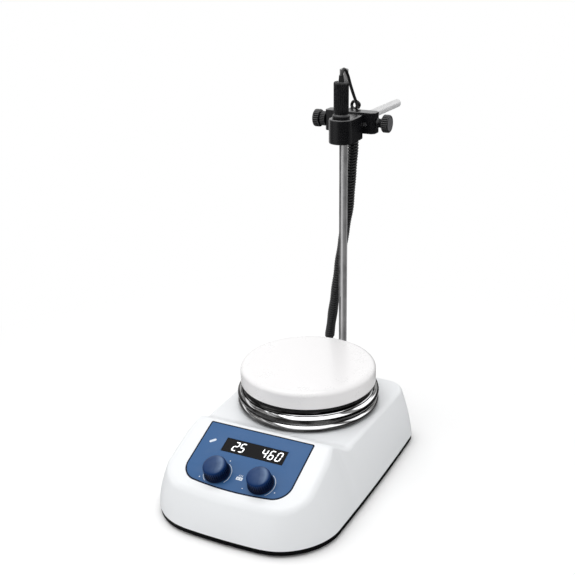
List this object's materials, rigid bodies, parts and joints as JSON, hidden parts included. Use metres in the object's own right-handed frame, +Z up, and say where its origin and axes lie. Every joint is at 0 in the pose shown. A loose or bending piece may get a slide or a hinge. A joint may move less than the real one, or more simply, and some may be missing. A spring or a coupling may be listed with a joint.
{
  "type": "magnetic stirrer",
  "caption": "Digital hotplate magnetic stirrer with a support rod, boss head and a clamped temperature probe on a coiled cable.",
  "frame": {"origin": "on the bench under the heating plate's axis", "axes": "+Z up along the heating plate's axis, -Y towards the control panel, +X to the user's right"},
  "size_m": [0.175, 0.357, 0.3579],
  "materials": {
    "white_case": "smooth moulded, satin gloss",
    "black_base": "fine moulded texture",
    "rubber": "matt",
    "screws": "machined",
    "panel_film": "satin printed film",
    "window": "polished, tinted",
    "digits": "lit segments",
    "circuit_board": "lacquered board",
    "encoders": "plated",
    "knobs": "ribbed, satin",
    "copper": "lacquered wire",
    "contacts": "plated",
    "sheet_steel": "zinc plated",
    "bright_steel": "ground and polished",
    "white_plate": "smooth enamel",
    "heater": "matt",
    "chrome_skirt": "mirror polished",
    "black_clamp": "fine satin powder coat",
    "black_grip": "ribbed",
    "cable": "smooth sheath"
  },
  "bodies": {
    "base": {"housing_shell": "white_case", "base_plate": "black_base", "rubber_feet": "rubber", "base_screws": "screws", "panel_overlay": "panel_film", "display_window": "window", "display_digits": "digits", "display_board": "circuit_board", "board_screws": "screws", "heat_encoder": "encoders", "speed_encoder": "encoders", "encoder_nuts": "screws", "main_board": "circuit_board", "transformer": "copper", "power_inlet": "black_base", "inlet_pins": "contacts", "inlet_screws": "screws", "switch_body": "black_base", "sensor_socket": "screws", "motor_bracket": "sheet_steel", "bracket_screws": "screws", "motor_can": "sheet_steel", "motor_stator": "copper", "motor_bearings": "bright_steel", "heating_plate": "white_plate", "plate_gasket": "rubber", "heating_element": "heater", "insulation_disc": "heater", "plate_skirt": "chrome_skirt", "reflector_pan": "sheet_steel", "plate_pillars": "sheet_steel", "pillar_screws": "screws", "plate_screws": "screws", "plate_sensor": "contacts", "rod_holder": "black_base", "support_rod": "bright_steel", "coil_cord": "cable", "cable_plug": "cable"},
    "heat_push": {"heat_plunger": "encoders"},
    "heat_turn": {"heat_shaft": "encoders", "heat_knob": "knobs"},
    "speed_push": {"speed_plunger": "encoders"},
    "speed_turn": {"speed_shaft": "encoders", "speed_knob": "knobs"},
    "rocker": {"power_rocker": "black_base"},
    "fuse": {"fuse_drawer": "black_base"},
    "rotor": {"rotor_shaft": "bright_steel", "rotor_core": "sheet_steel", "magnet_carrier": "sheet_steel", "drive_magnets": "bright_steel"},
    "bush": {"head_bush": "black_clamp"},
    "head": {"boss_head": "black_clamp", "cable_lead": "cable"},
    "rod_screw": {"rod_thumbscrew": "black_clamp"},
    "arm_screw": {"arm_thumbscrew": "black_clamp"},
    "arm": {"cross_rod": "bright_steel"},
    "holder": {"probe_holder": "black_clamp"},
    "probe": {"probe_handle": "black_grip", "probe_stem": "bright_steel"}
  },
  "joints": [
    {"name": "heat_knob_push", "type": "slide", "parent": "base", "child": "heat_push", "axis": [0, 0.3907, -0.9205], "range_m": [0, 0.0005]},
    {"name": "heat_knob_turn", "type": "hinge", "parent": "heat_push", "child": "heat_turn", "pos_m": [-0.019, -0.13803, 0.04806], "axis": [0, -0.3907, 0.9205], "continuous": true},
    {"name": "speed_knob_push", "type": "slide", "parent": "base", "child": "speed_push", "axis": [0, 0.3907, -0.9205], "range_m": [0, 0.0005]},
    {"name": "speed_knob_turn", "type": "hinge", "parent": "speed_push", "child": "speed_turn", "pos_m": [0.023, -0.13803, 0.04806], "axis": [0, -0.3907, 0.9205], "continuous": true},
    {"name": "power_rocker_tilt", "type": "hinge", "parent": "base", "child": "rocker", "pos_m": [-0.055, 0.0767, 0.02109], "axis": [1, 0, 0], "range_deg": [-8, 8]},
    {"name": "fuse_drawer_slide", "type": "slide", "parent": "base", "child": "fuse", "axis": [0, 0.9895, 0.1444], "range_m": [0, 0.014]},
    {"name": "stir_spin", "type": "hinge", "parent": "base", "child": "rotor", "pos_m": [0, 0, 0.04], "axis": [0, 0, 1], "continuous": true},
    {"name": "head_lift", "type": "slide", "parent": "base", "child": "bush", "axis": [0, 0, 1], "range_m": [-0.045, 0.03], "deforming": ["coil_cord"]},
    {"name": "head_swing", "type": "hinge", "parent": "bush", "child": "head", "pos_m": [0, 0.08, 0.3085], "axis": [0, 0, 1], "range_deg": [-60, 60], "deforming": ["coil_cord"]},
    {"name": "rod_screw_turn", "type": "hinge", "parent": "head", "child": "rod_screw", "pos_m": [-0.02, 0.08, 0.3085], "axis": [1, 0, 0], "continuous": true},
    {"name": "arm_screw_turn", "type": "hinge", "parent": "head", "child": "arm_screw", "pos_m": [0.035, 0.08, 0.3085], "axis": [1, 0, 0], "continuous": true},
    {"name": "arm_slide", "type": "slide", "parent": "head", "child": "arm", "axis": [0, -1, 0], "range_m": [0, 0.04], "deforming": ["cable_lead"]},
    {"name": "holder_tilt", "type": "hinge", "parent": "arm", "child": "holder", "pos_m": [0.012, 0.06, 0.3085], "axis": [0, 1, 0], "range_deg": [-20, 20], "deforming": ["cable_lead"]},
    {"name": "probe_lift", "type": "slide", "parent": "holder", "child": "probe", "axis": [0, 0, 1], "range_m": [0, 0.015], "deforming": ["cable_lead"]}
  ]
}
